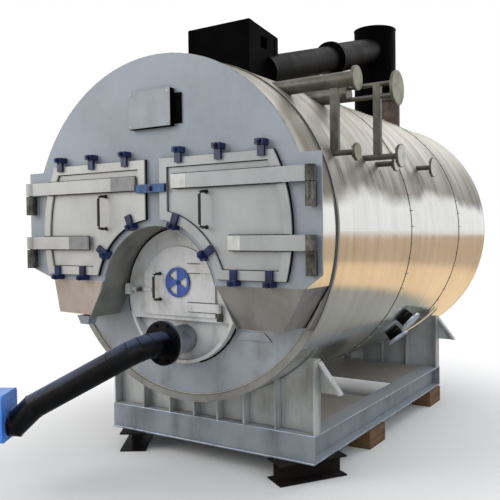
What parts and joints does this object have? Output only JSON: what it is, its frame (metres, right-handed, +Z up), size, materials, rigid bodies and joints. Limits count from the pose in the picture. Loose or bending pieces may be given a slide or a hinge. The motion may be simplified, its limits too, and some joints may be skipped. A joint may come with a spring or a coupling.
{
  "type": "industrial boiler",
  "caption": "Horizontal smoke-tube steam boiler with smoke box doors, fire door, air duct, flue and stack on a steel skid.",
  "frame": {"origin": "on the ground, under the middle of the whole plant's bounding box", "axes": "+Z up; +Y runs from the fire door back along the shell; +X to the side with the gauge nozzles"},
  "size_m": [2.721, 5.0866, 4],
  "materials": {
    "cladding": "satin sheet cladding",
    "flange_rim": "aluminium paint",
    "furnace_front": "heat-dulled aluminium paint",
    "smoke_box": "aluminium paint",
    "grey_door": "aluminium paint",
    "lining": "rough refractory",
    "blue": "blue enamel",
    "black_steel": "dull black paint",
    "skid_paint": "aluminium paint",
    "timber": "weathered timber",
    "dark_steel": "rusty steel"
  },
  "bodies": {
    "boiler": {"air_duct": "black_steel", "air_duct_foot": "black_steel", "air_elbow": "black_steel", "air_spigot": "furnace_front", "centre_clamp_block": "blue", "fan_collar": "blue", "flue_box": "black_steel", "flue_duct": "black_steel", "front_cladding": "cladding", "front_rim_flange": "flange_rim", "front_saddle": "skid_paint", "front_tube_plate": "furnace_front", "furnace_arch": "smoke_box", "furnace_front": "furnace_front", "furnace_tube": "dark_steel", "gauge_nozzles": "smoke_box", "hinge_brackets": "grey_door", "left_ash_hopper": "smoke_box", "middle_cladding": "cladding", "name_plate": "cladding", "rear_access_cover": "cladding", "rear_cladding": "cladding", "rear_end_plate": "cladding", "rear_saddle": "skid_paint", "right_ash_hopper": "smoke_box", "side_nozzles": "smoke_box", "skid_cross_beams": "skid_paint", "skid_decks": "skid_paint", "skid_side_beams": "skid_paint", "smoke_box_face": "smoke_box", "smoke_box_wrapper": "smoke_box", "stack": "black_steel", "steel_packing": "dark_steel", "timber_packing": "timber", "vent_nozzle": "dark_steel"},
    "left_door": {"left_door": "grey_door", "left_door_lining": "lining", "left_door_ironwork": "grey_door", "left_door_clamps": "blue"},
    "right_door": {"right_door": "grey_door", "right_door_lining": "lining", "right_door_ironwork": "grey_door", "right_door_clamps": "blue"},
    "fire_door": {"fire_door": "furnace_front", "fire_door_ironwork": "furnace_front"},
    "damper_wheel": {"damper_wheel": "blue"}
  },
  "joints": [
    {"name": "left_door_hinge", "type": "hinge", "parent": "boiler", "child": "left_door", "pos_m": [-1.3075, -1.74865, 1.932], "axis": [0, 0, -1], "range_deg": [0, 110]},
    {"name": "right_door_hinge", "type": "hinge", "parent": "boiler", "child": "right_door", "pos_m": [1.1925, -1.74865, 1.932], "axis": [0, 0, 1], "range_deg": [0, 110]},
    {"name": "fire_door_hinge", "type": "hinge", "parent": "boiler", "child": "fire_door", "pos_m": [0.3145, -1.46765, 1.39], "axis": [0, 0, 1], "range_deg": [0, 90]},
    {"name": "damper_turn", "type": "hinge", "parent": "fire_door", "child": "damper_wheel", "pos_m": [-0.0575, -1.46465, 1.428], "axis": [0, 1, 0], "range_deg": [0, 60]}
  ]
}
